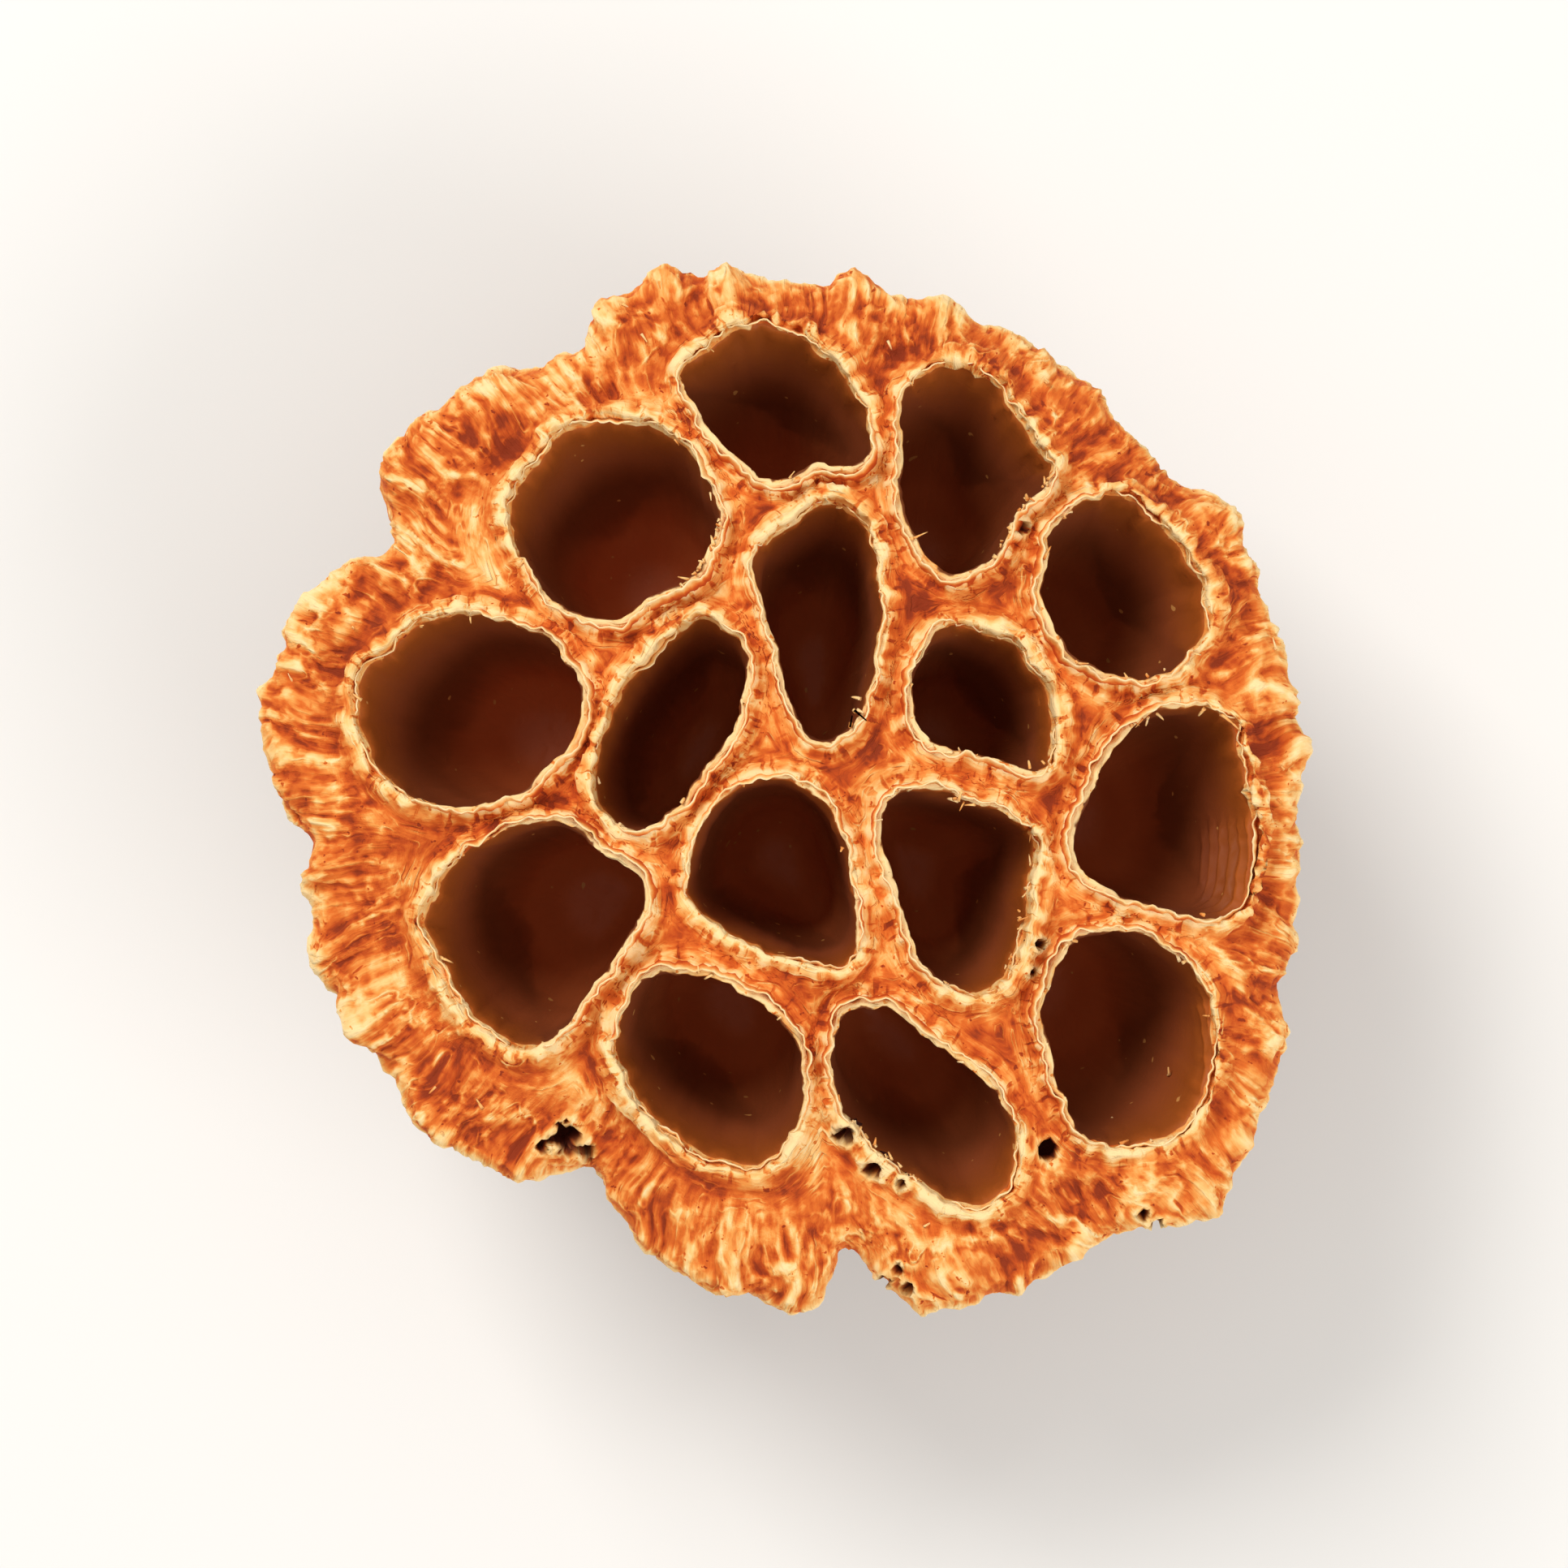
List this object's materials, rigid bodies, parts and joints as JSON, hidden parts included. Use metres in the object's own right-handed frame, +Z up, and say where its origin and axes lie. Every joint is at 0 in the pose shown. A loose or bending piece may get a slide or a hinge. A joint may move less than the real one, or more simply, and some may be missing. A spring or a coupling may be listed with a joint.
{
  "type": "dried lotus pod",
  "caption": "Dried lotus seed pod: a flared cone with a crumpled rim and open seed cells with papery lips, standing on its cut stem end.",
  "frame": {"origin": "middle of the flat cut stem end that the pod stands on", "axes": "+Z up through the middle of the face; +Y towards the top of the picture, +X to its right"},
  "size_m": [0.0804, 0.0804, 0.0386],
  "materials": {
    "dried_pod": "dry, fibrous and matte: cream ridges over orange valleys, dark brown inside the cells"
  },
  "bodies": {
    "root": {"lotus_pod": "dried_pod"}
  },
  "joints": []
}
